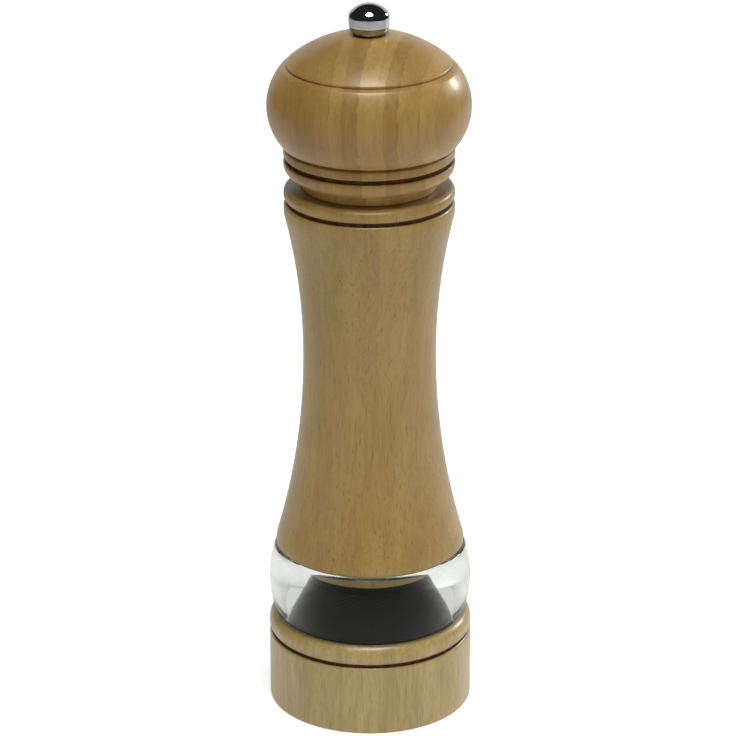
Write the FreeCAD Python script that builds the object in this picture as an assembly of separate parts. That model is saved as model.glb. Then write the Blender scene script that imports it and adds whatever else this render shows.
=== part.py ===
import FreeCAD, Part
import math
import os

# Pepper mill, millimetres. Z is the turning axis and z = 0 is the table.

# Base: turned wood foot
base_radius = 30.0
base_height = 27.9
base_edge_round = 2.7
base_foot_chamfer = 0.4
base_groove_height = 21.7
base_foot_wall = 3.6
base_recess_depth = 9.0
base_floor_thickness = 11.0
base_top_wall = 4.6

# Wire-burnt lines on the wood
burn_wire_radius = 0.6

# Clear ring: a thick slice of a ball, bored out to follow the housing inside it
ring_height = 21.1
ring_inset = 0.1
ring_bore = 18.3
ring_tongue_wall = 1.4
ring_tongue_length = 1.2
ring_rim_round = 0.8

# Body: turned wood hopper
body_height = 111.4
body_foot_inset = 0.28
body_foot_round = 1.2
body_foot_height = 2.2
body_spigot_length = 6.6
waist_radius = 19.3
waist_height = 60.5
shoulder_radius = 24.5
shoulder_height = 103.4
shoulder_round = 1.8
body_groove_height = 107.3
hopper_radius = 13.2
body_mouth_depth = 12.2

# Head: neck, collar, ball and domed cap
head_neck_radius = 19.5
head_neck_height = 2.8
collar_height = 11.4
collar_round = 4.0
collar_groove_height = 8.3
collar_nick_width = 0.9
collar_nick_depth = 1.4
ball_radius = 29.1
ball_arc_radius = 17.0
ball_middle_height = 23.6
cap_groove_height = 35.4
cap_groove_width = 1.1
cap_groove_depth = 0.5
head_height = 44.7
head_spigot_radius = 16.0
head_spigot_length = 9.4
head_top_land = 7.5

# Knob: chrome nut with a domed cap, a straight belt and a drawn-in foot
knob_radius = 5.8
knob_seat_radius = 4.5
knob_foot_height = 3.0
knob_belt_height = 1.9
knob_cap_height = 3.85
knob_shoulder_round = 2.4
knob_bore_depth = 6.4

# Grinder housing: black moulded cone with a throat tube and a socket below
neck_radius = 16.6
neck_length = 8.5
cone_top_drop = 8.5
cone_shoulder_rise = 1.5
skirt_rim_height = 2.5
skirt_wall = 2.2
throat_wall = 2.0
socket_wall = 1.8
throat_height = 22.0
boss_radius = 2.6

# Grinding ring and grinding cone
stator_radius = 16.5
stator_height = 12.0
stator_entry_radius = 14.0
stator_waist_radius = 10.6
stator_exit_radius = 12.6
stator_waist_height = 6.0
stator_key_width = 3.0
stator_key_depth = 1.2
stator_key_height = 4.0
grinding_gap = 0.6
rotor_height = 11.5
rotor_top_radius = 7.0
rotor_floor = 1.4
fine_tooth_count = 24
fine_tooth_depth = 0.7
fine_tooth_width = 1.3
coarse_tooth_count = 6
coarse_tooth_depth = 1.3
coarse_tooth_width = 3.0
coarse_tooth_twist = 35.0

# Spindle: square rod with a thread at each end
spindle_square = 7.0
spindle_edge_break = 0.3
top_thread_radius = 3.0
top_thread_length = 17.0
bottom_thread_radius = 2.5
bottom_thread_length = 7.1
clip_groove_radius = 4.3

# Spindle guide: hub on three arms inside a ring
guide_height = 3.0
guide_radius = 14.5
guide_ring_wall = 1.5
guide_hub_radius = 7.6
guide_arm_width = 3.5
guide_arm_count = 3

# Spring
spring_wire_radius = 0.55
spring_mean_radius = 6.6
spring_turns = 6

# Plates, washers, clip, nut and screws
drive_plate_radius = 12.6
drive_plate_thickness = 1.2
retainer_bore_margin = 0.8
retainer_thickness = 1.2
spring_washer_radius = 7.6
spring_washer_thickness = 0.8
rotor_washer_radius = 6.5
rotor_washer_thickness = 1.0
clip_radius = 7.2
clip_thickness = 0.8
clip_height_above_guide = 2.2
clip_opening = 7.4
nut_width = 8.0
nut_height = 4.0
screw_count = 3
screw_head_radius = 2.3
screw_head_height = 1.7
screw_shank_radius = 1.2
screw_slot_width = 0.7
screw_slot_depth = 0.8
drive_screw_circle = 9.2
drive_screw_length = 9.0
base_screw_bite = 5.5

# Clearances
turning_clearance = 0.25
head_gap = 0.2
knob_gap = 0.1
shaft_clearance = 0.1
seat_clearance = 0.1
hole_clearance = 0.15
end_clearance = 0.5
recess_clearance = 0.4
cone_clearance = 0.45

# Heights and radii that follow from the sizes above
ring_bottom = base_height
ring_top = ring_bottom + ring_height
ring_middle = ring_bottom + ring_height / 2
ring_ball_radius = base_radius - ring_inset
ring_end_radius = math.sqrt(ring_ball_radius ** 2 - (ring_height / 2) ** 2)
tongue_bottom = ring_bottom - ring_tongue_length
body_bottom = ring_top
body_foot_radius = ring_end_radius - body_foot_inset
body_top = body_bottom + body_height
head_bottom = body_top + head_gap
head_top = head_bottom + head_height
body_mouth_radius = head_spigot_radius + turning_clearance
spigot_bottom = head_bottom - head_spigot_length
plate_bottom = spigot_bottom - drive_plate_thickness
base_recess_radius = base_radius - base_foot_wall
base_counterbore_radius = base_radius - base_top_wall
tongue_radius = base_counterbore_radius - seat_clearance
tongue_bore_radius = tongue_radius - ring_tongue_wall
base_floor_top = base_recess_depth + base_floor_thickness
stator_bottom = base_recess_depth
stator_top = stator_bottom + stator_height
socket_radius = stator_radius + seat_clearance
socket_outer_radius = socket_radius + socket_wall
base_bore_radius = socket_outer_radius + seat_clearance
retainer_radius = base_recess_radius - recess_clearance
retainer_bore = stator_exit_radius + retainer_bore_margin
base_screw_circle = base_bore_radius + screw_head_radius + seat_clearance
base_screw_seat = base_recess_depth - retainer_thickness
base_screw_length = base_floor_top + base_screw_bite - base_screw_seat
skirt_radius = base_counterbore_radius - 2 * seat_clearance
neck_top = body_bottom + neck_length
neck_bottom = body_bottom - cone_top_drop
skirt_rim_top = base_floor_top + skirt_rim_height
throat_radius = guide_radius + seat_clearance
throat_outer_radius = throat_radius + throat_wall
guide_top = stator_top + throat_height
guide_bottom = guide_top - guide_height
spindle_corner_radius = spindle_square / math.sqrt(2)
shaft_bore_radius = spindle_corner_radius + 3 * shaft_clearance
rotor_bottom = stator_bottom
rotor_top = rotor_bottom + rotor_height
spindle_square_bottom = rotor_bottom + rotor_floor + seat_clearance
spindle_bottom = spindle_square_bottom - bottom_thread_length
ball_centre = (ball_radius - ball_arc_radius, head_bottom + ball_middle_height)
cap_groove_bottom = head_bottom + cap_groove_height - cap_groove_width / 2
cap_groove_top = cap_groove_bottom + cap_groove_width
cap_rim_radius = ball_centre[0] + math.sqrt(ball_arc_radius ** 2 - (cap_groove_top - ball_centre[1]) ** 2)
cap_rise = head_top - cap_groove_top
cap_arc_radius = (cap_rim_radius ** 2 + cap_rise ** 2) / (2 * cap_rise)
cap_centre_height = head_top - cap_arc_radius
knob_seat_height = cap_centre_height + math.sqrt(cap_arc_radius ** 2 - knob_seat_radius ** 2)
knob_bottom = knob_seat_height + knob_gap
top_bore_radius = top_thread_radius + 3 * shaft_clearance
spindle_top = knob_bottom + knob_bore_depth - 2 * end_clearance
spindle_square_top = spindle_top - top_thread_length
spring_bottom = rotor_top + spring_washer_thickness
spring_top = guide_bottom - spring_washer_thickness
clip_bottom = guide_top + clip_height_above_guide
hole_radius = screw_shank_radius + hole_clearance
pilot_radius = screw_shank_radius + seat_clearance / 2

origin = FreeCAD.Vector(0, 0, 0)
z_axis = FreeCAD.Vector(0, 0, 1)


def at(radius, height):
    return FreeCAD.Vector(radius, 0, height)


def on_circle(centre, radius, degrees):
    angle = math.radians(degrees)
    return (centre[0] + radius * math.cos(angle), centre[1] + radius * math.sin(angle))


def turned(start, *steps):
    # A step is a point to draw a line to, or a pair (through, end) for an arc
    edges = []
    here = start
    for step in steps + (start,):
        if isinstance(step[0], tuple):
            through, end = step
            edges.append(Part.Arc(at(*here), at(*through), at(*end)).toShape())
        else:
            end = step
            edges.append(Part.LineSegment(at(*here), at(*end)).toShape())
        here = end
    face = Part.Face(Part.Wire(edges))
    return face.revolve(origin, z_axis, 360)


def rod(radius, bottom, top, x=0.0, y=0.0):
    return Part.makeCylinder(radius, top - bottom, FreeCAD.Vector(x, y, bottom))


def tube(outer, inner, bottom, top):
    return rod(outer, bottom, top).cut(rod(inner, bottom, top))


def square_bar(width, bottom, top):
    corner = FreeCAD.Vector(-width / 2, -width / 2, bottom)
    return Part.makeBox(width, width, top - bottom, corner)


def around(count, first_angle=90.0):
    return [first_angle + 360.0 * index / count for index in range(count)]


def spun(shape, degrees):
    turned_copy = shape.copy()
    turned_copy.rotate(origin, z_axis, degrees)
    return turned_copy


def burn_line(radius, height):
    return Part.makeTorus(radius, burn_wire_radius, FreeCAD.Vector(0, 0, height))


def screw_holes(circle, bottom, top, radius):
    hole = rod(radius, bottom, top, x=circle)
    return [spun(hole, angle) for angle in around(screw_count)]


def screws(circle, seat_height, length):
    # Pan-head screws driven upward from a seat, with a cross recess
    head = turned((0, -screw_head_height),
                  (screw_head_radius * 0.7, -screw_head_height),
                  (screw_head_radius, -screw_head_height * 0.6),
                  (screw_head_radius, 0),
                  (screw_shank_radius, 0),
                  (screw_shank_radius, length - 2 * screw_shank_radius),
                  (0, length))
    slot_reach = screw_head_radius * 1.2
    slot = Part.makeBox(slot_reach, screw_slot_width, screw_slot_depth,
                        FreeCAD.Vector(-slot_reach / 2, -screw_slot_width / 2, -screw_head_height))
    head = head.cut([slot, spun(slot, 90)])
    head.translate(FreeCAD.Vector(circle, 0, seat_height))
    return Part.makeCompound([spun(head, angle) for angle in around(screw_count)])


def tooth_cutter(low, high, width, depth, twist=0.0):
    # A V-shaped groove from low to high; positive depth cuts outward, negative inward
    side = math.copysign(1.0, depth)
    sections = []
    for (radius, height), turn in ((low, 0.0), (high, twist)):
        mouth = radius - side * abs(depth) * 0.5
        slope_width = width * 0.75
        corners = [FreeCAD.Vector(mouth, -slope_width, height),
                   FreeCAD.Vector(mouth, slope_width, height),
                   FreeCAD.Vector(radius + depth, 0, height)]
        section = Part.makePolygon(corners + corners[:1])
        sections.append(spun(section, turn))
    return Part.makeLoft(sections, True, True)


def cut_teeth(shape, cutter, count):
    return shape.cut([spun(cutter, angle) for angle in around(count)])


def make_base():
    wood = turned((base_recess_radius, 0),
                  (base_radius - base_foot_chamfer, 0),
                  (base_radius, base_foot_chamfer),
                  (base_radius, base_height - base_edge_round),
                  (on_circle((base_radius - base_edge_round, base_height - base_edge_round),
                             base_edge_round, 45),
                   (base_radius - base_edge_round, base_height)),
                  (base_counterbore_radius, base_height),
                  (base_counterbore_radius, base_floor_top),
                  (base_bore_radius, base_floor_top),
                  (base_bore_radius, base_recess_depth),
                  (base_recess_radius, base_recess_depth))
    cuts = screw_holes(base_screw_circle, base_recess_depth - 1, base_floor_top + 1, hole_radius)
    cuts.append(burn_line(base_radius, base_groove_height))
    return wood.cut(cuts)


def make_window_ring():
    ring = turned((tongue_radius, ring_bottom),
                  (ring_end_radius, ring_bottom),
                  ((ring_ball_radius, ring_middle), (ring_end_radius, ring_top)),
                  (ring_bore, ring_top),
                  (ring_bore, neck_bottom),
                  (tongue_bore_radius, tongue_bottom),
                  (tongue_radius, tongue_bottom))
    top_rim = [edge for edge in ring.Edges
               if edge.BoundBox.ZMin > ring_top - ring_rim_round and edge.BoundBox.XMax > body_foot_radius]
    return ring.makeFillet(ring_rim_round, top_rim)


def make_body():
    waist = body_bottom + waist_height
    foot = body_bottom + body_foot_height
    shoulder = body_bottom + shoulder_height

    def flank(end_radius, end_height):
        # Arc that is upright at the waist, halfway out to its end
        reach = end_height - waist
        bulge = end_radius - waist_radius
        radius = (reach ** 2 + bulge ** 2) / (2 * bulge)
        half = reach / 2
        return (waist_radius + radius - math.sqrt(radius ** 2 - half ** 2), waist + half)

    spigot_radius = ring_bore - seat_clearance
    neck_bore = neck_radius + seat_clearance / 2
    foot_round_centre = (body_foot_radius - body_foot_round, body_bottom + body_foot_round)
    top_round_centre = (shoulder_radius - shoulder_round, body_top - shoulder_round)
    wood = turned((neck_bore, body_bottom - body_spigot_length),
                  (spigot_radius, body_bottom - body_spigot_length),
                  (spigot_radius, body_bottom),
                  (foot_round_centre[0], body_bottom),
                  (on_circle(foot_round_centre, body_foot_round, -45),
                   (body_foot_radius, foot_round_centre[1])),
                  (body_foot_radius, foot),
                  (flank(body_foot_radius, foot), (waist_radius, waist)),
                  (flank(shoulder_radius, shoulder), (shoulder_radius, shoulder)),
                  (shoulder_radius, top_round_centre[1]),
                  (on_circle(top_round_centre, shoulder_round, 45), (top_round_centre[0], body_top)),
                  (body_mouth_radius, body_top),
                  (body_mouth_radius, body_top - body_mouth_depth),
                  (hopper_radius, body_top - body_mouth_depth),
                  (hopper_radius, neck_top + seat_clearance),
                  (neck_bore, neck_top + seat_clearance))
    return wood.cut(burn_line(shoulder_radius, body_bottom + body_groove_height))


def make_head():
    collar_top = head_bottom + collar_height
    groove_middle = head_bottom + cap_groove_height

    def ball_at(height):
        rise = height - ball_centre[1]
        return ball_centre[0] + math.sqrt(ball_arc_radius ** 2 - rise ** 2)

    cap_half = cap_rim_radius / 2
    cap_half_height = math.sqrt(cap_arc_radius ** 2 - cap_half ** 2) + cap_centre_height
    collar_bottom = head_bottom + head_neck_height
    collar_round_centre = (shoulder_radius - collar_round, collar_bottom + collar_round)
    ball_bottom = collar_top + collar_nick_width
    land_bottom = head_top - head_top_land
    wood = turned((shaft_bore_radius, spigot_bottom),
                  (head_spigot_radius, spigot_bottom),
                  (head_spigot_radius, head_bottom),
                  (head_neck_radius, head_bottom),
                  (head_neck_radius, collar_bottom),
                  (collar_round_centre[0], collar_bottom),
                  (on_circle(collar_round_centre, collar_round, -45),
                   (shoulder_radius, collar_round_centre[1])),
                  (shoulder_radius, collar_top),
                  (shoulder_radius - collar_nick_depth, collar_top + collar_nick_width / 2),
                  (ball_at(ball_bottom), ball_bottom),
                  ((ball_radius, ball_centre[1]), (ball_at(cap_groove_bottom), cap_groove_bottom)),
                  (ball_at(groove_middle) - cap_groove_depth, groove_middle),
                  (cap_rim_radius, cap_groove_top),
                  ((cap_half, cap_half_height), (knob_seat_radius, knob_seat_height)),
                  (top_bore_radius, knob_seat_height),
                  (top_bore_radius, land_bottom),
                  (shaft_bore_radius, land_bottom))
    cuts = screw_holes(drive_screw_circle, spigot_bottom - 1, spigot_bottom + drive_screw_length, pilot_radius)
    cuts.append(burn_line(shoulder_radius, head_bottom + collar_groove_height))
    return wood.cut(cuts)


def make_knob():
    belt_bottom = knob_bottom + knob_foot_height
    belt_top = belt_bottom + knob_belt_height
    top = belt_top + knob_cap_height
    # The cap's arc runs into the shoulder's, and that one upright into the belt
    shoulder_centre = (knob_radius - knob_shoulder_round, belt_top)
    cap_radius = ((shoulder_centre[0] ** 2 + knob_cap_height ** 2 - knob_shoulder_round ** 2)
                  / (2 * (knob_cap_height - knob_shoulder_round)))
    cap_centre = (0, top - cap_radius)
    shoulder_angle = math.degrees(math.atan2(cap_radius - knob_cap_height, shoulder_centre[0]))
    bore_radius = top_thread_radius + shaft_clearance
    bore_top = knob_bottom + knob_bore_depth
    # The foot's arc runs upright into the belt
    draw_in = knob_radius - knob_seat_radius
    foot_radius = (knob_foot_height ** 2 + draw_in ** 2) / (2 * draw_in)
    foot_angle = math.degrees(math.asin(knob_foot_height / foot_radius))
    foot_middle = on_circle((knob_radius - foot_radius, belt_bottom), foot_radius, -foot_angle / 2)
    return turned((bore_radius, knob_bottom),
                  (knob_seat_radius, knob_bottom),
                  (foot_middle, (knob_radius, belt_bottom)),
                  (knob_radius, belt_top),
                  (on_circle(shoulder_centre, knob_shoulder_round, shoulder_angle / 2),
                   on_circle(shoulder_centre, knob_shoulder_round, shoulder_angle)),
                  (on_circle(cap_centre, cap_radius, (90 + shoulder_angle) / 2), (0, top)),
                  (0, bore_top),
                  (bore_radius, bore_top))


def make_grinder_housing():
    cone_at_tongue = tongue_bore_radius - cone_clearance
    cone_top_radius = ring_bore - cone_clearance
    cone_shoulder = neck_bottom + cone_shoulder_rise
    outside = ((skirt_radius, base_floor_top),
               (skirt_radius, skirt_rim_top),
               (cone_at_tongue, tongue_bottom),
               (cone_top_radius, neck_bottom),
               (cone_top_radius, cone_shoulder),
               (neck_radius, cone_shoulder),
               (neck_radius, neck_top))
    inner_rim = skirt_radius - skirt_wall
    inner_tongue = cone_at_tongue - skirt_wall
    slope = (cone_at_tongue - cone_top_radius) / (neck_bottom - tongue_bottom)
    pocket_top = tongue_bottom + (inner_tongue - throat_outer_radius) / slope
    shoulder_bottom = stator_top + socket_wall
    shoulder_top = shoulder_bottom + socket_outer_radius - throat_outer_radius
    shell = turned(*outside,
                   (hopper_radius, neck_top),
                   (hopper_radius, guide_top),
                   (throat_radius, guide_top),
                   (throat_radius, stator_top),
                   (socket_radius, stator_top),
                   (socket_radius, stator_bottom),
                   (socket_outer_radius, stator_bottom),
                   (socket_outer_radius, shoulder_bottom),
                   (throat_outer_radius, shoulder_top),
                   (throat_outer_radius, pocket_top),
                   (inner_tongue, tongue_bottom),
                   (inner_rim, skirt_rim_top),
                   (inner_rim, base_floor_top))
    envelope = turned((0, base_floor_top), *outside, (0, neck_top))
    throat = rod(socket_radius, stator_bottom, stator_top).fuse(rod(throat_radius, stator_top, guide_top))
    boss = rod(boss_radius, base_floor_top, neck_bottom, x=base_screw_circle).common(envelope).cut(throat)
    housing = shell.fuse([spun(boss, angle) for angle in around(screw_count)])
    screw_top = base_screw_seat + base_screw_length
    cuts = screw_holes(base_screw_circle, base_floor_top - 1, screw_top, pilot_radius)
    key_slot = stator_key(seat_clearance)
    cuts.extend([key_slot, spun(key_slot, 180)])
    return housing.cut(cuts).removeSplitter()


def stator_key(clearance):
    # A key on the grinding ring's side that slides up into the housing's socket
    width = stator_key_width + 2 * clearance
    height = stator_key_height + clearance
    inner = stator_radius - 1.0
    reach = stator_radius + stator_key_depth + clearance - inner
    return Part.makeBox(reach, width, height, FreeCAD.Vector(inner, -width / 2, stator_bottom))


def make_stator():
    waist = stator_bottom + stator_waist_height
    ring = turned((stator_exit_radius, stator_bottom),
                  (stator_radius, stator_bottom),
                  (stator_radius, stator_top),
                  (stator_entry_radius, stator_top),
                  (stator_waist_radius, waist))
    key = stator_key(0.0)
    ring = ring.fuse([key, spun(key, 180)])
    fine = tooth_cutter((stator_exit_radius, stator_bottom), (stator_waist_radius, waist),
                        fine_tooth_width, fine_tooth_depth)
    coarse = tooth_cutter((stator_waist_radius, waist), (stator_entry_radius, stator_top),
                          coarse_tooth_width, coarse_tooth_depth)
    ring = cut_teeth(ring, fine, fine_tooth_count)
    return cut_teeth(ring, coarse, coarse_tooth_count)


def make_rotor():
    waist = rotor_bottom + stator_waist_height
    foot_radius = stator_exit_radius - grinding_gap
    waist_radius_inside = stator_waist_radius - grinding_gap
    cone = turned((0, rotor_bottom),
                  (foot_radius, rotor_bottom),
                  (waist_radius_inside, waist),
                  (rotor_top_radius, rotor_top),
                  (0, rotor_top))
    fine = tooth_cutter((foot_radius, rotor_bottom), (waist_radius_inside, waist),
                        fine_tooth_width, -fine_tooth_depth)
    coarse = tooth_cutter((waist_radius_inside, waist), (rotor_top_radius, rotor_top),
                          coarse_tooth_width, -coarse_tooth_depth, coarse_tooth_twist)
    cone = cut_teeth(cone, fine, fine_tooth_count)
    cone = cut_teeth(cone, coarse, coarse_tooth_count)
    square_hole = square_bar(spindle_square + 2 * seat_clearance, rotor_bottom + rotor_floor, rotor_top)
    stud_hole = rod(bottom_thread_radius + seat_clearance, rotor_bottom, rotor_top)
    return cone.cut([square_hole, stud_hole])


def make_spindle():
    bar = square_bar(spindle_square, spindle_square_bottom, spindle_square_top)
    long_edges = [edge for edge in bar.Edges if abs(edge.Vertexes[0].Z - edge.Vertexes[1].Z) > spindle_square]
    bar = bar.makeChamfer(spindle_edge_break, long_edges)
    bar = bar.fuse([rod(top_thread_radius, spindle_square_top, spindle_top),
                    rod(bottom_thread_radius, spindle_bottom, spindle_square_bottom)])
    groove = tube(spindle_square, clip_groove_radius, clip_bottom - seat_clearance,
                  clip_bottom + clip_thickness + seat_clearance)
    return bar.cut(groove)


def make_spindle_guide():
    hub = rod(guide_hub_radius, guide_bottom, guide_top)
    guide_bore = guide_radius - guide_ring_wall
    rim = tube(guide_radius, guide_bore, guide_bottom, guide_top)
    arm = Part.makeBox(guide_bore, guide_arm_width, guide_height,
                       FreeCAD.Vector(guide_ring_wall / 2, -guide_arm_width / 2, guide_bottom))
    spider = hub.fuse([rim] + [spun(arm, angle) for angle in around(guide_arm_count)])
    return spider.cut(rod(shaft_bore_radius, guide_bottom, guide_top)).removeSplitter()


def make_spindle_clip():
    clip_top = clip_bottom + clip_thickness
    clip = tube(clip_radius, clip_groove_radius + seat_clearance / 2, clip_bottom, clip_top)
    opening = Part.makeBox(clip_radius, clip_opening, clip_thickness,
                           FreeCAD.Vector(0, -clip_opening / 2, clip_bottom))
    return clip.cut(opening)


def helix_point(turns, height):
    angle = 2 * math.pi * turns
    return FreeCAD.Vector(spring_mean_radius * math.cos(angle), spring_mean_radius * math.sin(angle), height)


def arc_from_tangent(start, tangent, end):
    # The arc that leaves start along tangent and arrives at end
    chord = end - start
    normal = tangent.cross(chord).cross(tangent).normalize()
    radius = chord.dot(chord) / (2 * chord.dot(normal))
    centre = start + normal * radius
    middle = (start + end) * 0.5 - centre
    return Part.Arc(start, centre + middle.normalize() * radius, end).toShape()


def make_spring():
    # Each quarter turn is two arcs that meet with one tangent
    low = spring_bottom + spring_wire_radius
    pitch = (spring_top - spring_wire_radius - low) / spring_turns
    quarter_count = 4 * spring_turns
    rise = pitch / (2 * math.pi * spring_mean_radius)
    edges = []
    centres = []
    for quarter in range(quarter_count):
        ends = []
        for step in (quarter, quarter + 1):
            turns = step / 4
            point = helix_point(turns, low + pitch * turns)
            along = FreeCAD.Vector(-point.y / spring_mean_radius, point.x / spring_mean_radius, rise)
            ends.append((point, along.normalize()))
        (start, leave), (end, arrive) = ends
        gap = end - start
        twist = leave + arrive
        # Equal tangent lengths on both sides place the joint of the two arcs
        half = (twist.dot(twist) - 4) / 2
        if abs(half) < 1e-9:
            reach = gap.dot(gap) / (2 * gap.dot(twist))
        else:
            root = math.sqrt(gap.dot(twist) ** 2 - 2 * half * gap.dot(gap))
            reach = (gap.dot(twist) - root) / (2 * half)
        joint = (start + leave * reach + end - arrive * reach) * 0.5
        joint_along = (end - arrive * reach - start - leave * reach).normalize()
        edges.append(arc_from_tangent(start, leave, joint))
        edges.append(arc_from_tangent(joint, joint_along, end))
        centres.extend([start, joint])
    centres.append(end)
    path = Part.Wire(edges)
    section = Part.Wire(Part.Circle(centres[0], edges[0].tangentAt(edges[0].FirstParameter),
                                    spring_wire_radius).toShape())
    coil = Part.Wire(path).makePipeShell([section], True, False)
    half_turn = 4
    nearest = min((centres[i] - centres[j]).Length
                  for i in range(len(centres)) for j in range(i + half_turn, len(centres)))
    print("spring: least gap between turns %.2f mm" % (nearest - 2 * spring_wire_radius))
    return coil


def make_drive_plate():
    plate = rod(drive_plate_radius, plate_bottom, spigot_bottom)
    cuts = screw_holes(drive_screw_circle, plate_bottom, spigot_bottom, hole_radius)
    cuts.append(square_bar(spindle_square + 2 * shaft_clearance, plate_bottom, spigot_bottom))
    return plate.cut(cuts)


def make_stator_retainer():
    plate = tube(retainer_radius, retainer_bore, base_screw_seat, base_recess_depth)
    return plate.cut(screw_holes(base_screw_circle, base_screw_seat, base_recess_depth, hole_radius))


def make_rotor_nut():
    corner = nut_width / math.sqrt(3)
    top = rotor_bottom - rotor_washer_thickness
    points = [FreeCAD.Vector(*on_circle((0, 0), corner, angle), top - nut_height) for angle in around(6)]
    prism = Part.Face(Part.makePolygon(points + points[:1])).extrude(z_axis * nut_height)
    return prism.cut(rod(bottom_thread_radius + seat_clearance / 2, top - nut_height, top))


pieces = {
    "base": make_base(),
    "window_ring": make_window_ring(),
    "body": make_body(),
    "head": make_head(),
    "knob": make_knob(),
    "grinder_housing": make_grinder_housing(),
    "spindle": make_spindle(),
    "drive_plate": make_drive_plate(),
    "drive_plate_screws": screws(drive_screw_circle, plate_bottom, drive_screw_length),
    "spindle_guide": make_spindle_guide(),
    "spindle_clip": make_spindle_clip(),
    "upper_spring_washer": tube(spring_washer_radius, shaft_bore_radius, spring_top, guide_bottom),
    "spring": make_spring(),
    "lower_spring_washer": tube(spring_washer_radius, shaft_bore_radius, rotor_top, spring_bottom),
    "rotor": make_rotor(),
    "rotor_washer": tube(rotor_washer_radius, bottom_thread_radius + seat_clearance,
                         rotor_bottom - rotor_washer_thickness, rotor_bottom),
    "rotor_nut": make_rotor_nut(),
    "stator": make_stator(),
    "stator_retainer": make_stator_retainer(),
    "base_screws": screws(base_screw_circle, base_screw_seat, base_screw_length),
}

os.makedirs("parts", exist_ok=True)
for name, shape in pieces.items():
    shape.exportStep(os.path.join("parts", name + ".step"))
    box = shape.optimalBoundingBox(True, False)
    print("%-20s %d solid(s), valid %s, z %.2f to %.2f, volume %.0f" % (
        name, len(shape.Solids), shape.isValid(), box.ZMin, box.ZMax, shape.Volume))
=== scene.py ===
from math import acos, asin, atan2, cos, degrees, hypot, radians, sin, sqrt

import bmesh
import bpy
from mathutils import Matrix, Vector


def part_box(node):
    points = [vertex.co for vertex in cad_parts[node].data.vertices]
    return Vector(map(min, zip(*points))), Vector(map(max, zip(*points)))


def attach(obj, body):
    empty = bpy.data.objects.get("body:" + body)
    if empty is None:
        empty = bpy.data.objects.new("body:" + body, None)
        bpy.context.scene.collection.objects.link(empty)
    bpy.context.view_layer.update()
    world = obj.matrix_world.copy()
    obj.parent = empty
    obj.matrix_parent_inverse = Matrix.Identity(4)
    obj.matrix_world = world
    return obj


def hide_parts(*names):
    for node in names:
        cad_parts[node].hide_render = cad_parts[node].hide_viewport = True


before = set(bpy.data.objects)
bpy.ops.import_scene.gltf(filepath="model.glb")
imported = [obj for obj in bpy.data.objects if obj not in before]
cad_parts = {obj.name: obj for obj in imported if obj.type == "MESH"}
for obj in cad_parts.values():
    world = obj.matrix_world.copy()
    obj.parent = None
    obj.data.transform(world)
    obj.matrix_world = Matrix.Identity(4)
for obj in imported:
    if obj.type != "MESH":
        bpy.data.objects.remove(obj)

scene = bpy.context.scene
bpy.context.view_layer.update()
mm = 0.001
spinSteps = 224  # faces round the turning axis
burnSink = 0.35  # how far below the wood a burnt line's round channel has its middle


def startAt(bm, r, z):
    return bm.verts.new((r * mm, 0, z * mm))


def lineTo(bm, pen, r, z):
    end = startAt(bm, r, z)
    bm.edges.new((pen, end))
    return end


def arcTo(bm, pen, centre, sweep, steps):
    # swings the pen round a centre, in degrees, positive from outwards to upwards
    made = bmesh.ops.spin(bm, geom=[pen], cent=(centre[0] * mm, 0, centre[1] * mm), axis=(0, -1, 0),
                          angle=radians(sweep), steps=steps)
    return made["geom_last"][0]


def grooveTo(bm, pen, r, z, wire, lip):
    # a wire-burnt line: a round channel sunk into an upright side, its two lips sanded round
    inset = lip - burnSink
    rise = sqrt((wire + lip) ** 2 - inset ** 2)
    turn = degrees(atan2(rise, inset))
    pen = lineTo(bm, pen, r, z - rise)
    pen = arcTo(bm, pen, (r - lip, z - rise), turn, 8)
    pen = arcTo(bm, pen, (r - burnSink, z), -2 * turn, 10)
    return arcTo(bm, pen, (r - lip, z + rise), turn, 8)


def soften(bm, corners, size):
    bmesh.ops.bevel(bm, geom=corners, offset=size * mm, affect="VERTICES", segments=4, profile=0.5, material=-1)


def turnOnLathe(bm, name, burnLines=()):
    bmesh.ops.spin(bm, geom=bm.verts[:] + bm.edges[:], cent=(0, 0, 0), axis=(0, 0, 1), angle=radians(360),
                   steps=spinSteps, use_merge=True)
    bmesh.ops.remove_doubles(bm, verts=bm.verts[:], dist=0.001 * mm)
    bmesh.ops.recalc_face_normals(bm, faces=bm.faces[:])
    for face in bm.faces:
        face.smooth = True
    for edge in bm.edges:
        edge.smooth = edge.calc_face_angle(0) < radians(32)
    scorch = bm.verts.layers.float.new("scorch")
    for r, z, wire in burnLines:
        for v in bm.verts:
            away = hypot(hypot(v.co.x, v.co.y) - (r - burnSink) * mm, v.co.z - z * mm) / mm
            v[scorch] = max(v[scorch], min(1, max(0, 5 - 4 * away / wire)))
        for face in bm.faces:
            middle = face.calc_center_median()
            if hypot(hypot(middle.x, middle.y) - (r - burnSink) * mm, middle.z - z * mm) < 1.01 * wire * mm:
                face.material_index = 1
    mesh = bpy.data.meshes.new(name)
    bm.to_mesh(mesh)
    bm.free()
    piece = bpy.data.objects.new(name, mesh)
    scene.collection.objects.link(piece)
    print("turned", name, len(mesh.polygons), "faces")
    return piece


def linear(hexCode):
    parts = [int(hexCode[i:i + 2], 16) / 255 for i in (1, 3, 5)]
    return tuple(c / 12.92 if c <= 0.04045 else ((c + 0.055) / 1.055) ** 2.4 for c in parts) + (1,)


def addNode(tree, kind, links, stops=(), **settings):
    node = tree.nodes.new("ShaderNode" + kind)
    for name, value in settings.items():
        setattr(node, name, value)
    for name, value in links.items():
        if isinstance(value, bpy.types.NodeSocket):
            tree.links.new(value, node.inputs[name])
        else:
            node.inputs[name].default_value = value
    while len(stops) > len(node.color_ramp.elements) if stops else False:
        node.color_ramp.elements.new(0.5)
    for element, (place, colour) in zip(node.color_ramp.elements if stops else (), stops):
        element.position = place
        element.color = colour
    return node


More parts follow.
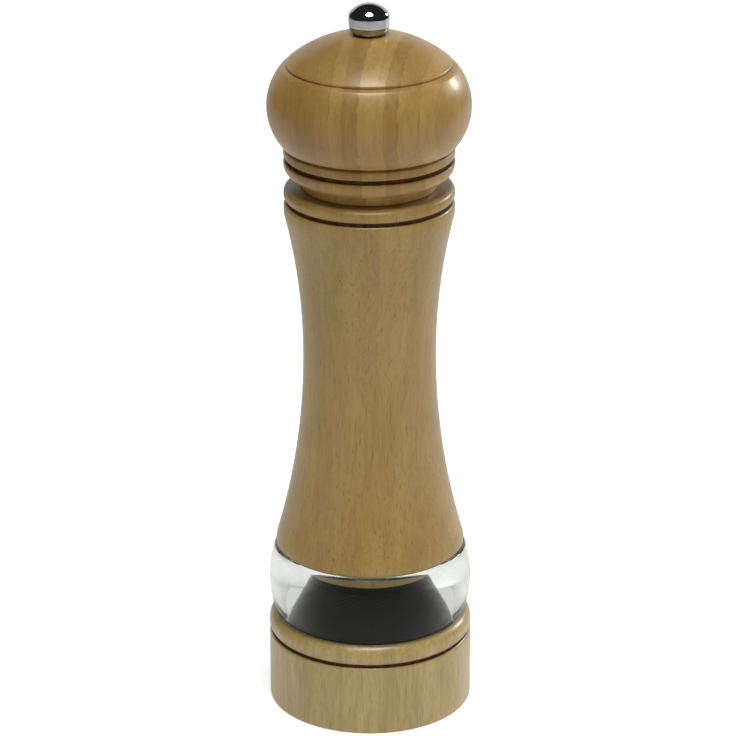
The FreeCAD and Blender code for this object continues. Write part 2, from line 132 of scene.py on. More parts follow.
def newMaterial(name, **values):
    material = bpy.data.materials.new(name)
    material.use_nodes = True
    shader = material.node_tree.nodes["Principled BSDF"]
    for key, value in values.items():
        shader.inputs[key.replace("_", " ")].default_value = value
    return material, material.node_tree, shader


def grey(level):
    return (level, level, level, 1)


# Rubberwood, turned on a lathe, sanded and sprayed with satin lacquer: tan staves of differing tone with fairly
# sharp edges, fine long streaks, short dark pores along the grain, and a soft sheen that pales the edges
def lacqueredRubberwood(name, look):
    material, tree, shader = newMaterial(name, IOR=1.48, Coat_Weight=look["coat"], Coat_Roughness=look["gloss"],
                                         Coat_IOR=1.5)
    coords = addNode(tree, "TexCoord", {})
    grain = addNode(tree, "Mapping", {"Vector": coords.outputs["Object"], "Location": look["offset"],
                                      "Rotation": [radians(a) for a in look["lean"]]})
    # the grain wanders a few millimetres on its way up
    wander = addNode(tree, "TexNoise", {"Vector": grain.outputs[0], "Scale": 1 / (45 * mm), "Detail": 2})
    centred = addNode(tree, "VectorMath", {0: wander.outputs["Color"], 1: (0.5, 0.5, 0.5)}, operation="SUBTRACT")
    sway = addNode(tree, "VectorMath", {0: centred.outputs[0], 1: (look["wander"] * mm, look["wander"] * mm, 0)},
                   operation="MULTIPLY")
    wandering = addNode(tree, "VectorMath", {0: grain.outputs[0], 1: sway.outputs[0]}, operation="ADD")
    # streaks about 1 mm wide and 20 mm long
    long = addNode(tree, "Mapping", {"Vector": wandering.outputs[0],
                                     "Scale": (1 / (1.0 * mm), 1 / (1.4 * mm), 1 / (look["streakLength"] * mm))})
    streaks = addNode(tree, "TexNoise", {"Vector": long.outputs[0], "Scale": 1, "Detail": 3, "Roughness": 0.6})
    # staves: cells of uneven width across the grain, each with its own tone, their edges frayed by the streaks
    across = addNode(tree, "SeparateXYZ", {0: wandering.outputs[0]})
    fray = addNode(tree, "Math", {0: streaks.outputs[0], 1: look["fray"] * mm, 2: across.outputs[0]},
                   operation="MULTIPLY_ADD")
    count = addNode(tree, "Math", {0: fray.outputs[0], 1: 1 / (look["stave"] * mm)}, operation="MULTIPLY")
    staves = addNode(tree, "TexVoronoi", {"W": count.outputs[0], "Scale": 1, "Randomness": 1},
                     voronoi_dimensions="1D")
    staveTone = addNode(tree, "SeparateColor", {0: staves.outputs["Color"]})
    seams = addNode(tree, "TexVoronoi", {"W": count.outputs[0], "Scale": 1, "Randomness": 1}, voronoi_dimensions="1D",
                    feature="DISTANCE_TO_EDGE")
    seamLine = addNode(tree, "MapRange", {0: seams.outputs["Distance"], 1: 0, 2: 0.3 / look["stave"], 3: 1, 4: 0})
    # broad clouds of colour between them
    broad = addNode(tree, "Mapping", {"Vector": wandering.outputs[0],
                                      "Scale": (1 / (7 * mm), 1 / (12 * mm), 1 / (45 * mm))})
    clouds = addNode(tree, "TexNoise", {"Vector": broad.outputs[0], "Scale": 1, "Detail": 3, "Roughness": 0.55})
    # pores: dashes a third of a millimetre wide
    fine = addNode(tree, "Mapping", {"Vector": wandering.outputs[0],
                                     "Scale": (1 / (0.36 * mm), 1 / (0.36 * mm), 1 / (4.5 * mm))})
    dashes = addNode(tree, "TexNoise", {"Vector": fine.outputs[0], "Scale": 1, "Detail": 1, "Roughness": 0.5})
    pores = addNode(tree, "ValToRGB", {0: dashes.outputs[0]}, stops=((0.58, grey(0)), (0.72, grey(1))))
    tone = addNode(tree, "Mix", {0: look["staveShare"], 2: clouds.outputs[0], 3: staveTone.outputs[0]})
    toneStreaked = addNode(tree, "Mix", {0: look["streakShare"], 2: tone.outputs[0], 3: streaks.outputs[0]})
    colour = addNode(tree, "ValToRGB", {0: toneStreaked.outputs[0]},
                     stops=((0.25, linear(look["dark"])), (0.5, linear(look["middle"])), (0.75, linear(look["light"]))))
    # thin dark lines between some staves, coming and going with the clouds
    seamFade = addNode(tree, "MapRange", {0: clouds.outputs[0], 1: 0.4, 2: 0.6, 3: 0, 4: look["seamShare"]})
    seamShare = addNode(tree, "Math", {0: seamLine.outputs[0], 1: seamFade.outputs[0]}, operation="MULTIPLY")
    poreShare = addNode(tree, "Math", {0: pores.outputs[0], 1: look["poreShare"]}, operation="MULTIPLY")
    darkShare = addNode(tree, "Math", {0: poreShare.outputs[0], 1: seamShare.outputs[0]}, operation="MAXIMUM")
    pored = addNode(tree, "Mix", {0: darkShare.outputs[0], 6: colour.outputs[0], 7: linear(look["pore"])},
                    data_type="RGBA")
    # the burnt lines, dark in the groove with an uneven brown edge
    scorch = addNode(tree, "Attribute", {}, attribute_name="scorch")
    singe = addNode(tree, "TexNoise", {"Vector": coords.outputs["Object"], "Scale": 1 / (1.2 * mm), "Detail": 2})
    uneven = addNode(tree, "Math", {0: singe.outputs[0], 1: 0.5, 2: 0.6}, operation="MULTIPLY_ADD")
    burnt = addNode(tree, "Math", {0: scorch.outputs["Fac"], 1: uneven.outputs[0]}, operation="MULTIPLY",
                    use_clamp=True)
    finish = addNode(tree, "Mix", {0: burnt.outputs[0], 6: pored.outputs[2], 7: linear("#2B1808")}, data_type="RGBA")
    tree.links.new(finish.outputs[2], shader.inputs["Base Color"])
    rough = addNode(tree, "MapRange", {0: streaks.outputs[0], 1: 0.3, 2: 0.7, 3: 0.34, 4: 0.46})
    tree.links.new(rough.outputs[0], shader.inputs["Roughness"])
    relief = addNode(tree, "Bump", {"Height": pores.outputs[0], "Strength": 0.25, "Distance": 0.03 * mm}, invert=True)
    tree.links.new(relief.outputs[0], shader.inputs["Normal"])
    return material


# The same wood charred by a wire held in the groove as it turns: matt, near black with brown in it
def burntRubberwood():
    material, tree, shader = newMaterial("burntRubberwood", Specular_IOR_Level=0.15)
    coords = addNode(tree, "TexCoord", {})
    char = addNode(tree, "TexNoise", {"Vector": coords.outputs["Object"], "Scale": 1 / (1.5 * mm), "Detail": 3})
    colour = addNode(tree, "ValToRGB", {0: char.outputs[0]}, stops=((0.35, linear("#341F0C")), (0.7, linear("#5E3A16"))))
    tree.links.new(colour.outputs[0], shader.inputs["Base Color"])
    rough = addNode(tree, "MapRange", {0: char.outputs[0], 1: 0.3, 2: 0.7, 3: 0.6, 4: 0.85})
    tree.links.new(rough.outputs[0], shader.inputs["Roughness"])
    relief = addNode(tree, "Bump", {"Height": char.outputs[0], "Strength": 0.4, "Distance": 0.05 * mm})
    tree.links.new(relief.outputs[0], shader.inputs["Normal"])
    return material


# Clear acrylic, injection moulded and polished: almost no colour, a trace of flow waviness and handling haze
def mouldedAcrylic():
    # the grey specular tint dims its reflections to a fifth: painted shade, standing in for the shaded table in front
    # that they mirror
    material, tree, shader = newMaterial("mouldedAcrylic", Base_Color=linear("#F3F5F2"), Transmission_Weight=1, IOR=1.49,
                                         Specular_Tint=grey(0.2))
    coords = addNode(tree, "TexCoord", {})
    haze = addNode(tree, "TexNoise", {"Vector": coords.outputs["Object"], "Scale": 1 / (6 * mm), "Detail": 3})
    rough = addNode(tree, "MapRange", {0: haze.outputs[0], 1: 0.4, 2: 0.7, 3: 0.0, 4: 0.02})
    tree.links.new(rough.outputs[0], shader.inputs["Roughness"])
    flow = addNode(tree, "TexNoise", {"Vector": coords.outputs["Object"], "Scale": 1 / (9 * mm), "Detail": 1})
    wave = addNode(tree, "Bump", {"Height": flow.outputs[0], "Strength": 0.3, "Distance": 0.05 * mm})
    tree.links.new(wave.outputs[0], shader.inputs["Normal"])
    return material


# Black nylon, injection moulded: near black, a dull sheen with a fine spark-eroded grain and faint flow marks
def mouldedNylon():
    material, tree, shader = newMaterial("mouldedNylon", IOR=1.53, Specular_IOR_Level=0.08)
    coords = addNode(tree, "TexCoord", {})
    flow = addNode(tree, "TexNoise", {"Vector": coords.outputs["Object"], "Scale": 1 / (8 * mm), "Detail": 4})
    colour = addNode(tree, "ValToRGB", {0: flow.outputs[0]}, stops=((0.35, linear("#0C0B0B")), (0.7, linear("#161413"))))
    tree.links.new(colour.outputs[0], shader.inputs["Base Color"])
    rough = addNode(tree, "MapRange", {0: flow.outputs[0], 1: 0.3, 2: 0.7, 3: 0.36, 4: 0.5})
    tree.links.new(rough.outputs[0], shader.inputs["Roughness"])
    # the grain is 0.1 mm in life, drawn at 0.4 mm so that it shows
    grain = addNode(tree, "TexNoise", {"Vector": coords.outputs["Object"], "Scale": 1 / (0.4 * mm), "Detail": 1})
    relief = addNode(tree, "Bump", {"Height": grain.outputs[0], "Strength": 0.05, "Distance": 0.01 * mm})
    tree.links.new(relief.outputs[0], shader.inputs["Normal"])
    return material


# Chromed brass, machined and polished: a mirror that takes in the dark room and the pale table, with light smears
def polishedChrome():
    material, tree, shader = newMaterial("polishedChrome", Metallic=1)
    coords = addNode(tree, "TexCoord", {})
    smear = addNode(tree, "TexNoise", {"Vector": coords.outputs["Object"], "Scale": 1 / (2.5 * mm), "Detail": 3})
    colour = addNode(tree, "ValToRGB", {0: smear.outputs[0]}, stops=((0.3, linear("#ABADAE")), (0.7, linear("#BABCBC"))))
    tree.links.new(colour.outputs[0], shader.inputs["Base Color"])
    rough = addNode(tree, "MapRange", {0: smear.outputs[0], 1: 0.35, 2: 0.7, 3: 0.03, 4: 0.09})
    tree.links.new(rough.outputs[0], shader.inputs["Roughness"])
    return material


# Steel in three finishes, from the making: cold-drawn and zinc-plated, pressed sheet, or cast and hardened dark
def workedSteel(name, pale, deep, roughness, grainSize, relief):
    material, tree, shader = newMaterial(name, Metallic=1)
    coords = addNode(tree, "TexCoord", {})
    drawn = addNode(tree, "Mapping", {"Vector": coords.outputs["Object"],
                                      "Scale": [1 / (size * mm) for size in grainSize]})
    lines = addNode(tree, "TexNoise", {"Vector": drawn.outputs[0], "Scale": 1, "Detail": 3, "Roughness": 0.6})
    colour = addNode(tree, "ValToRGB", {0: lines.outputs[0]}, stops=((0.3, linear(deep)), (0.7, linear(pale))))
    tree.links.new(colour.outputs[0], shader.inputs["Base Color"])
    rough = addNode(tree, "MapRange", {0: lines.outputs[0], 1: 0.3, 2: 0.7, 3: roughness - 0.06, 4: roughness + 0.1})
    tree.links.new(rough.outputs[0], shader.inputs["Roughness"])
    bump = addNode(tree, "Bump", {"Height": lines.outputs[0], "Strength": relief, "Distance": 0.02 * mm})
    tree.links.new(bump.outputs[0], shader.inputs["Normal"])
    return material


burnt = burntRubberwood()
acrylic = mouldedAcrylic()
nylon = mouldedNylon()
chrome = polishedChrome()
zincSteel = workedSteel("zincPlatedSteel", "#B9BABA", "#8E9092", 0.26, (0.5, 0.5, 12), 0.15)
sheetSteel = workedSteel("pressedSheetSteel", "#AEB0B1", "#85888B", 0.32, (9, 0.5, 0.5), 0.15)
burrSteel = workedSteel("hardenedCastSteel", "#6A6866", "#45433F", 0.46, (0.7, 0.7, 0.7), 0.5)
print("materials ready for acrylic, nylon, chrome and steel")


baseLook = dict(offset=(0.0131, 0.0047, 0.0212), lean=(2, 1, 8), wander=5, stave=5.5, staveShare=0.2, seamShare=0.2, fray=3,
                streakShare=0.5, streakLength=14, poreShare=0.4, coat=0.5, gloss=0.26,
                light="#C2AA73", middle="#B09861", dark="#99804B", pore="#6B5228")
baseSizes = dict(footRound=0.4, edgeRound=3.6, groove=21.7, wire=0.55, lip=1.2, recess=26.4, recessTop=9.0,
                 bore=18.5, floorTop=20.0, counterbore=25.4)


def turnBase(look, size):
    r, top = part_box("base")[1].x / mm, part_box("base")[1].z / mm
    bm = bmesh.new()
    first = pen = startAt(bm, size["recess"], 0)
    pen = lineTo(bm, pen, r - size["footRound"], 0)
    pen = arcTo(bm, pen, (r - size["footRound"], size["footRound"]), 90, 4)
    pen = grooveTo(bm, pen, r, size["groove"], size["wire"], size["lip"])
    pen = lineTo(bm, pen, r, top - size["edgeRound"])
    pen = arcTo(bm, pen, (r - size["edgeRound"], top - size["edgeRound"]), 90, 14)
    pen = lineTo(bm, pen, size["counterbore"], top)
    pen = lineTo(bm, pen, size["counterbore"], size["floorTop"])
    pen = lineTo(bm, pen, size["bore"], size["floorTop"])
    pen = lineTo(bm, pen, size["bore"], size["recessTop"])
    pen = lineTo(bm, pen, size["recess"], size["recessTop"])
    bm.edges.new((pen, first))
    soften(bm, [first], 0.3)
    piece = turnOnLathe(bm, "turnedBase", [(r, size["groove"], size["wire"])])
    piece.data.materials.append(lacqueredRubberwood("lacqueredRubberwoodBase", look))
    piece.data.materials.append(burnt)
    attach(piece, "mill")
    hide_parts("base")


turnBase(baseLook, baseSizes)


# thick clear acrylic: the air round the cone in its bore makes the wall a mirror, so the sides look pale
ringSizes = dict(bore=18.3, boreBottom=40.5, tongue=1.2, tongueRadius=25.3, tongueWall=1.4, rim=0.8, lowEdge=0.2,
                 air=0.04)


def mouldRing(size):
    low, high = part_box("window_ring")
    ball, top = high.x / mm, high.z / mm
    bottom = low.z / mm + size["tongue"]
    middle = (top + bottom) / 2
    top -= size["air"]  # a hair of air, so that the ends mirror and show no wood pressed against them
    bottom += size["air"]
    half = degrees(asin((top - middle) / ball))
    bm = bmesh.new()
    first = pen = startAt(bm, size["tongueRadius"], bottom)
    lowRim = pen = lineTo(bm, pen, ball * cos(radians(half)), bottom)
    pen = arcTo(bm, pen, (0, middle), 2 * half - 3, 28)
    topRim = pen = arcTo(bm, pen, (0, middle), 3, 1)
    pen = lineTo(bm, pen, size["bore"], top)
    pen = lineTo(bm, pen, size["bore"], size["boreBottom"])
    pen = lineTo(bm, pen, size["tongueRadius"] - size["tongueWall"], low.z / mm)
    pen = lineTo(bm, pen, size["tongueRadius"], low.z / mm)
    bm.edges.new((pen, first))
    soften(bm, [lowRim], size["lowEdge"])
    soften(bm, [topRim], size["rim"])
    piece = turnOnLathe(bm, "clearRing")
    piece.data.materials.append(acrylic)
    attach(piece, "mill")
    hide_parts("window_ring")


mouldRing(ringSizes)


# the black cone seen through the ring
housingSizes = dict(neck=16.6, coneTop=17.85, coneTopHeight=40.5, coneShoulder=42.0, coneFoot=23.45,
                    coneFootHeight=26.7, rim=25.2, rimTop=22.5, bottom=20.0, wall=2.2, bore=13.2, guideTop=43.0,
                    throat=14.6, throatOuter=16.6, socket=16.6, socketOuter=18.4, socketTop=21.0, socketBottom=9.0,
                    shoulderBottom=22.8)


def mouldHousing(size):
    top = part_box("grinder_housing")[1].z / mm
    slope = (size["coneFoot"] - size["coneTop"]) / (size["coneTopHeight"] - size["coneFootHeight"])
    innerCone = size["coneFoot"] - size["wall"]
    pocketTop = size["coneFootHeight"] + (innerCone - size["throatOuter"]) / slope
    bm = bmesh.new()
    first = pen = startAt(bm, size["rim"], size["bottom"])
    rimEdge = pen = lineTo(bm, pen, size["rim"], size["rimTop"])
    pen = lineTo(bm, pen, size["coneFoot"], size["coneFootHeight"])
    coneTop = pen = lineTo(bm, pen, size["coneTop"], size["coneTopHeight"])
    pen = lineTo(bm, pen, size["coneTop"], size["coneShoulder"])
    pen = lineTo(bm, pen, size["neck"], size["coneShoulder"])
    pen = lineTo(bm, pen, size["neck"], top)
    pen = lineTo(bm, pen, size["bore"], top)
    pen = lineTo(bm, pen, size["bore"], size["guideTop"])
    pen = lineTo(bm, pen, size["throat"], size["guideTop"])
    pen = lineTo(bm, pen, size["throat"], size["socketTop"])
    pen = lineTo(bm, pen, size["socket"], size["socketTop"])
    pen = lineTo(bm, pen, size["socket"], size["socketBottom"])
    pen = lineTo(bm, pen, size["socketOuter"], size["socketBottom"])
    pen = lineTo(bm, pen, size["socketOuter"], size["shoulderBottom"])
    pen = lineTo(bm, pen, size["throatOuter"], size["shoulderBottom"] + size["socketOuter"] - size["throatOuter"])
    pen = lineTo(bm, pen, size["throatOuter"], pocketTop)
    pen = lineTo(bm, pen, innerCone, size["coneFootHeight"])
    pen = lineTo(bm, pen, size["rim"] - size["wall"], size["rimTop"])
    pen = lineTo(bm, pen, size["rim"] - size["wall"], size["bottom"])
    bm.edges.new((pen, first))
    soften(bm, [rimEdge, coneTop], 0.4)
    piece = turnOnLathe(bm, "grinderHousing")
    piece.data.materials.append(nylon)
    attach(piece, "mill")
    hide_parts("grinder_housing")


mouldHousing(housingSizes)


bodyLook = dict(offset=(-0.0072, 0.0155, 0.0403), lean=(3, -1.5, 10), wander=7, stave=9, staveShare=0.2,
                seamShare=0.15, fray=4, streakShare=0.4, streakLength=18, poreShare=0.45, coat=0.2, gloss=0.24,
                light="#B1955B", middle="#A2854B", dark="#8C6F3B", pore="#5F4824")
bodySizes = dict(foot=27.697, footRound=1.2, footHeight=2.2, spigot=18.2, spigotLength=6.6, waist=19.3,
                 waistHeight=60.5, shoulder=24.5, shoulderHeight=103.4, shoulderRound=1.8, groove=107.3, wire=0.6,
                 lip=1.2, mouth=16.25, mouthDepth=12.2, hopper=13.2, neck=16.65, neckLength=8.6)


def turnBody(look, size):
    low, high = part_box("body")
    top = high.z / mm
    bottom = low.z / mm + size["spigotLength"]
    waist = bottom + size["waistHeight"]
    foot = bottom + size["footHeight"]
    shoulder = bottom + size["shoulderHeight"]

    def flankRadius(reach, bulge):
        return (reach ** 2 + bulge ** 2) / (2 * bulge)

    lowFlank = flankRadius(waist - foot, size["foot"] - size["waist"])
    highFlank = flankRadius(shoulder - waist, size["shoulder"] - size["waist"])
    bm = bmesh.new()
    first = pen = startAt(bm, size["neck"], low.z / mm)
    pen = lineTo(bm, pen, size["spigot"], low.z / mm)
    pen = lineTo(bm, pen, size["spigot"], bottom)
    pen = lineTo(bm, pen, size["foot"] - size["footRound"], bottom)
    pen = arcTo(bm, pen, (size["foot"] - size["footRound"], bottom + size["footRound"]), 90, 8)
    footEdge = pen = lineTo(bm, pen, size["foot"], foot)
    pen = arcTo(bm, pen, (size["waist"] + lowFlank, waist), -degrees(asin((waist - foot) / lowFlank)), 24)
    shoulderEdge = pen = arcTo(bm, pen, (size["waist"] + highFlank, waist),
                               -degrees(asin((shoulder - waist) / highFlank)), 20)
    pen = grooveTo(bm, pen, size["shoulder"], bottom + size["groove"], size["wire"], size["lip"])
    ledge = top - size["shoulderRound"]
    pen = lineTo(bm, pen, size["shoulder"], ledge)
    pen = arcTo(bm, pen, (size["shoulder"] - size["shoulderRound"], ledge), 90, 12)
    pen = lineTo(bm, pen, size["mouth"], top)
    pen = lineTo(bm, pen, size["mouth"], top - size["mouthDepth"])
    pen = lineTo(bm, pen, size["hopper"], top - size["mouthDepth"])
    pen = lineTo(bm, pen, size["hopper"], bottom + size["neckLength"])
    pen = lineTo(bm, pen, size["neck"], bottom + size["neckLength"])
    bm.edges.new((pen, first))
    soften(bm, [footEdge, shoulderEdge], 0.6)
    piece = turnOnLathe(bm, "turnedBody", [(size["shoulder"], bottom + size["groove"], size["wire"])])
    piece.data.materials.append(lacqueredRubberwood("lacqueredRubberwoodBody", look))
    piece.data.materials.append(burnt)
    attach(piece, "mill")
    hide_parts("body")


turnBody(bodyLook, bodySizes)


headLook = dict(offset=(0.0034, -0.0086, 0.0117), lean=(1, 0, 12), wander=3, stave=3.8, staveShare=0.36,
                seamShare=0.4, fray=2.2, streakShare=0.3, streakLength=26, poreShare=0.25, coat=0.2, gloss=0.2,
                light="#AF8E50", middle="#9B793F", dark="#83622E", pore="#5F4522")
headSizes = dict(spigot=16.0, spigotLength=9.4, neck=19.5, neckHeight=2.8, collar=24.5, collarRound=4.0,
                 collarHeight=11.4, groove=8.3, wire=0.6, lip=0.6, nickWidth=0.9, nickDepth=1.4, ball=29.1, ballArc=17.0,
                 ballMiddle=23.6, capGroove=35.4, capGrooveWidth=1.1, capGrooveDepth=0.5, height=44.7, knobSeat=4.5, bore=5.25,
                 topBore=3.3, land=7.5)


def turnHead(look, size):
    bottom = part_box("head")[0].z / mm + size["spigotLength"]
    collarTop = bottom + size["collarHeight"]
    ballCentre = (size["ball"] - size["ballArc"], bottom + size["ballMiddle"])
    grooveLow = bottom + size["capGroove"] - size["capGrooveWidth"] / 2
    grooveHigh = grooveLow + size["capGrooveWidth"]
    capRim = ballCentre[0] + sqrt(size["ballArc"] ** 2 - (grooveHigh - ballCentre[1]) ** 2)
    capRise = bottom + size["height"] - grooveHigh
    capArc = (capRim ** 2 + capRise ** 2) / (2 * capRise)
    capCentre = bottom + size["height"] - capArc
    collarLow = bottom + size["neckHeight"]
    collarCentre = (size["collar"] - size["collarRound"], collarLow + size["collarRound"])
    ballBottom = collarTop + size["nickWidth"]
    ballLow = degrees(asin((ballBottom - ballCentre[1]) / size["ballArc"]))
    ballHigh = degrees(asin((grooveLow - ballCentre[1]) / size["ballArc"]))
    capLow = degrees(asin((grooveHigh - capCentre) / capArc))
    capHigh = degrees(acos(size["knobSeat"] / capArc))
    seat = capCentre + capArc * sin(radians(capHigh))
    landLow = bottom + size["height"] - size["land"]
    bm = bmesh.new()
    first = pen = startAt(bm, size["bore"], bottom - size["spigotLength"])
    pen = lineTo(bm, pen, size["spigot"], bottom - size["spigotLength"])
    pen = lineTo(bm, pen, size["spigot"], bottom)
    pen = lineTo(bm, pen, size["neck"], bottom)
    neckTop = pen = lineTo(bm, pen, size["neck"], collarLow)
    pen = lineTo(bm, pen, collarCentre[0], collarLow)
    pen = arcTo(bm, pen, collarCentre, 90, 14)
    pen = grooveTo(bm, pen, size["collar"], bottom + size["groove"], size["wire"], size["lip"])
    collarEdge = pen = lineTo(bm, pen, size["collar"], collarTop)
    nick = pen = lineTo(bm, pen, size["collar"] - size["nickDepth"], (collarTop + ballBottom) / 2)
    ballFoot = pen = lineTo(bm, pen, ballCentre[0] + size["ballArc"] * cos(radians(ballLow)), ballBottom)
    ballEdge = pen = arcTo(bm, pen, ballCentre, ballHigh - ballLow, 44)
    pen = lineTo(bm, pen, capRim - size["capGrooveDepth"], (grooveLow + grooveHigh) / 2)
    capEdge = pen = lineTo(bm, pen, capRim, grooveHigh)
    pen = arcTo(bm, pen, (0, capCentre), capHigh - capLow, 24)
    pen = lineTo(bm, pen, size["topBore"], seat)
    pen = lineTo(bm, pen, size["topBore"], landLow)
    pen = lineTo(bm, pen, size["bore"], landLow)
    bm.edges.new((pen, first))
    soften(bm, [nick], 0.2)
    soften(bm, [collarEdge, ballFoot], 0.3)
    soften(bm, [ballEdge, capEdge], 0.5)
    soften(bm, [neckTop], 0.8)
    piece = turnOnLathe(bm, "turnedHead", [(size["collar"], bottom + size["groove"], size["wire"])])
    piece.data.materials.append(lacqueredRubberwood("lacqueredRubberwoodHead", look))
    piece.data.materials.append(burnt)
    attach(piece, "turning_head")
    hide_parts("head")


turnHead(headLook, headSizes)


knobSizes = dict(seat=4.5, footHeight=3.0, beltHeight=1.9, shoulderRound=2.4, bore=3.1, boreDepth=6.4, edge=0.15)


def turnKnob(size):
    low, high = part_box("knob")
    r, bottom, top = high.x / mm, low.z / mm, high.z / mm
    beltLow = bottom + size["footHeight"]
    beltHigh = beltLow + size["beltHeight"]
    drawIn = r - size["seat"]
    footArc = (size["footHeight"] ** 2 + drawIn ** 2) / (2 * drawIn)
    rise = top - beltHigh
    shoulder = size["shoulderRound"]
    capArc = ((r - shoulder) ** 2 + rise ** 2 - shoulder ** 2) / (2 * (rise - shoulder))
    footSweep = degrees(asin(size["footHeight"] / footArc))
    shoulderSweep = degrees(atan2(capArc - rise, r - shoulder))
    bm = bmesh.new()
    first = pen = startAt(bm, size["bore"], bottom)
    footEdge = pen = lineTo(bm, pen, size["seat"], bottom)
    pen = arcTo(bm, pen, (r - footArc, beltLow), footSweep, 12)
    pen = lineTo(bm, pen, r, beltHigh)
    pen = arcTo(bm, pen, (r - shoulder, beltHigh), shoulderSweep, 16)
    pen = arcTo(bm, pen, (0, top - capArc), 90 - shoulderSweep, 24)
    pen = lineTo(bm, pen, 0, bottom + size["boreDepth"])
    pen = lineTo(bm, pen, size["bore"], bottom + size["boreDepth"])
    bm.edges.new((pen, first))
    soften(bm, [footEdge], size["edge"])
    piece = turnOnLathe(bm, "chromeKnob")
    piece.data.materials.append(chrome)
    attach(piece, "knob")
    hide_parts("knob")


turnKnob(knobSizes)


# the works inside keep their solids and get their finish
finishes = dict(spindle=zincSteel, spindle_clip=zincSteel, spring=zincSteel, drive_plate=sheetSteel,
                drive_plate_screws=zincSteel, upper_spring_washer=sheetSteel, lower_spring_washer=sheetSteel,
                rotor_washer=sheetSteel, rotor_nut=zincSteel, stator_retainer=sheetSteel, base_screws=zincSteel,
                rotor=burrSteel, stator=burrSteel, spindle_guide=nylon)
for name, finish in finishes.items():
    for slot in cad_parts[name].material_slots:
        slot.material = finish
print("finished", len(finishes), "inner pieces")


studio = dict(width=1.6, front=1.5, back=0.75, bend=0.2, height=0.75, tone="#EEEEEC", worldGlow=0.03, lift=0.52,
              glassLift=0.16, glassGlow=0.66)
lamps = [  # name, place, aimed at, size, watts
    ("overheadLamp", (0.02, -0.25, 1.08), (0, 0, 0.12), 0.44, 8.2),
    ("lowLeftLamp", (-1.20, -0.70, 0.14), (0, 0, 0.12), 0.70, 5.8),
    ("lowRightLamp", (1.20, -0.70, 0.14), (0, 0, 0.12), 0.70, 7.6),
    ("rearRightLamp", (0.66, 0.52, 0.40), (0, 0, 0.12), 0.20, 2.4),
]
view = dict(place=(0, -0.9642, 0.4926), down=21.955, lean=0.12, lens=174.75, sideShift=1.15 / 736)


def mattPaper(look):
    material, tree, shader = newMaterial("mattPaper", Roughness=0.9, Specular_IOR_Level=0.1)
    coords = addNode(tree, "TexCoord", {})
    fibre = addNode(tree, "TexNoise", {"Vector": coords.outputs["Object"], "Scale": 1 / (20 * mm), "Detail": 2})
    colour = addNode(tree, "ValToRGB", {0: fibre.outputs[0]},
                     stops=((0.3, linear(look["tone"])), (0.7, linear("#F2F2F0"))))
    tree.links.new(colour.outputs[0], shader.inputs["Base Color"])
    # seen directly the paper is lifted to white, in metal or through the ring less so, and shadows still darken it
    path = addNode(tree, "LightPath", {})
    glass = addNode(tree, "Math", {0: path.outputs["Is Transmission Ray"], 1: path.outputs["Is Glossy Ray"]},
                    operation="MAXIMUM")
    seenInGlass = addNode(tree, "Math", {0: glass.outputs[0], 1: look["glassLift"]}, operation="MULTIPLY")
    lift = addNode(tree, "Math", {0: path.outputs["Is Camera Ray"], 1: look["lift"], 2: seenInGlass.outputs[0]},
                   operation="MULTIPLY_ADD")
    tree.links.new(lift.outputs[0], shader.inputs["Emission Strength"])
    shader.inputs["Emission Color"].default_value = (1, 1, 1, 1)
    # from below the sheet is clear, so that the mill's underside can be looked at
    sides = addNode(tree, "NewGeometry", {})
    clear = addNode(tree, "BsdfTransparent", {})
    sheet = addNode(tree, "MixShader", {0: sides.outputs["Backfacing"], 1: shader.outputs[0], 2: clear.outputs[0]})
    tree.links.new(sheet.outputs[0], tree.nodes["Material Output"].inputs["Surface"])
    return material


def hangSheet(bm, name, material):
    for face in bm.faces:
        face.smooth = True
    mesh = bpy.data.meshes.new(name)
    bm.to_mesh(mesh)
    bm.free()
    mesh.materials.append(material)
    sheet = bpy.data.objects.new(name, mesh)
    scene.collection.objects.link(sheet)
    return sheet


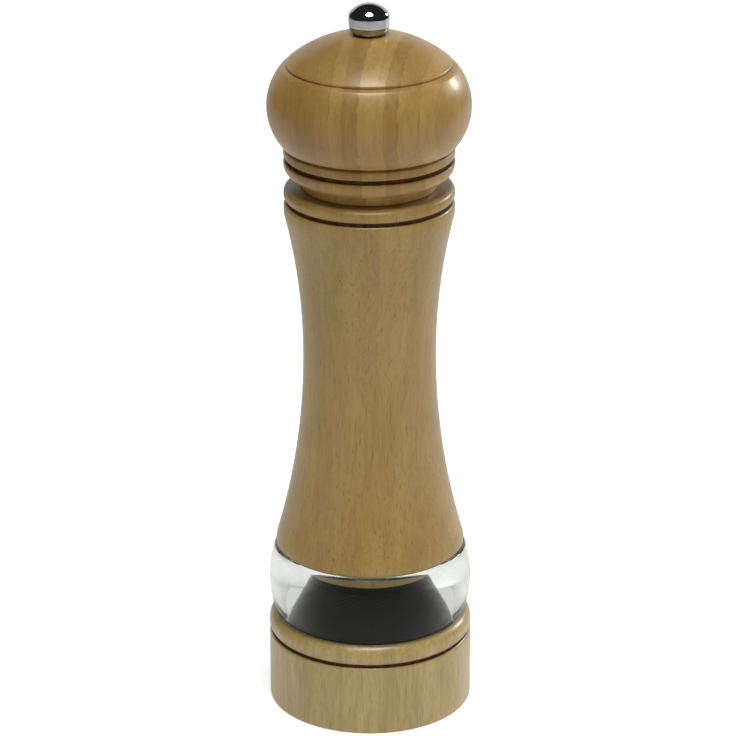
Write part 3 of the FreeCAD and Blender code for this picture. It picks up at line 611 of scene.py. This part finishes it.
def layFloor(look):
    paper = mattPaper(look)
    half, level = look["width"] / 2, -0.05 * mm
    bm = bmesh.new()
    edge = bm.edges.new([bm.verts.new((x, -look["front"], level)) for x in (-half, half)])
    made = bmesh.ops.extrude_edge_only(bm, edges=[edge])["geom"]
    bmesh.ops.translate(bm, verts=[v for v in made if isinstance(v, bmesh.types.BMVert)],
                        vec=(0, look["front"] + look["back"], 0))
    bm.normal_update()
    bmesh.ops.reverse_faces(bm, faces=[face for face in bm.faces if face.normal.z < 0])
    hangSheet(bm, "studioFloor", paper)
    # the paper turned up behind the mill, there for the lacquer, chrome and ring to mirror
    bm = bmesh.new()
    edge = bm.edges.new([bm.verts.new((x, look["back"], level)) for x in (-half, half)])
    bend = bmesh.ops.spin(bm, geom=edge.verts[:] + [edge], cent=(0, look["back"], level + look["bend"]),
                          axis=(1, 0, 0), angle=radians(90), steps=16)["geom_last"]
    made = bmesh.ops.extrude_edge_only(bm, edges=[e for e in bend if isinstance(e, bmesh.types.BMEdge)])["geom"]
    bmesh.ops.translate(bm, verts=[v for v in made if isinstance(v, bmesh.types.BMVert)],
                        vec=(0, 0, look["height"] - look["bend"]))
    bm.normal_update()
    bmesh.ops.reverse_faces(bm, faces=[face for face in bm.faces if face.normal.z - face.normal.y < 0])
    backdrop = hangSheet(bm, "studioBackdrop", paper)
    backdrop.visible_camera = False  # so the mill can be looked at from behind


def hangLamps(rows):
    for name, place, aim, size, watts in rows:
        light = bpy.data.lights.new(name, "AREA")
        light.shape = "DISK"
        light.size = size
        light.energy = watts
        lamp = bpy.data.objects.new(name, light)
        scene.collection.objects.link(lamp)
        lamp.location = place
        dx, dy, dz = (a - b for a, b in zip(aim, place))
        lamp.rotation_euler = (atan2(hypot(dx, dy), -dz), 0, atan2(-dx, dy))
        lamp.visible_glossy = not name.startswith("low")  # these only fill in, with no streaks on the lacquer
        lamp.visible_transmission = False  # a lamp's image inside the ring would only be a speck


def setCamera(look):
    camera = bpy.data.objects.new("camera", bpy.data.cameras.new("camera"))
    scene.collection.objects.link(camera)
    camera.location = look["place"]
    camera.rotation_euler = (radians(90 - look["down"]), radians(look["lean"]), 0)
    camera.data.lens = look["lens"]
    camera.data.shift_x = look["sideShift"]
    scene.camera = camera


layFloor(studio)
hangLamps(lamps)
setCamera(view)
world = bpy.data.worlds.new("studioAir")
world.use_nodes = True
world.node_tree.nodes["Background"].inputs[0].default_value = (1, 1, 1, 1)
path = addNode(world.node_tree, "LightPath", {})
# a white room to the eye, a pale one through the ring, and next to no light on the mill
pale = addNode(world.node_tree, "Math", {0: path.outputs["Is Transmission Ray"], 1: studio["glassGlow"],
                                         2: studio["worldGlow"]}, operation="MULTIPLY_ADD")
glow = addNode(world.node_tree, "Math", {0: path.outputs["Is Camera Ray"], 1: pale.outputs[0]}, operation="MAXIMUM")
world.node_tree.links.new(glow.outputs[0], world.node_tree.nodes["Background"].inputs[1])
scene.world = world
scene.view_settings.view_transform = "Standard"
print("floor, lamps and camera set")
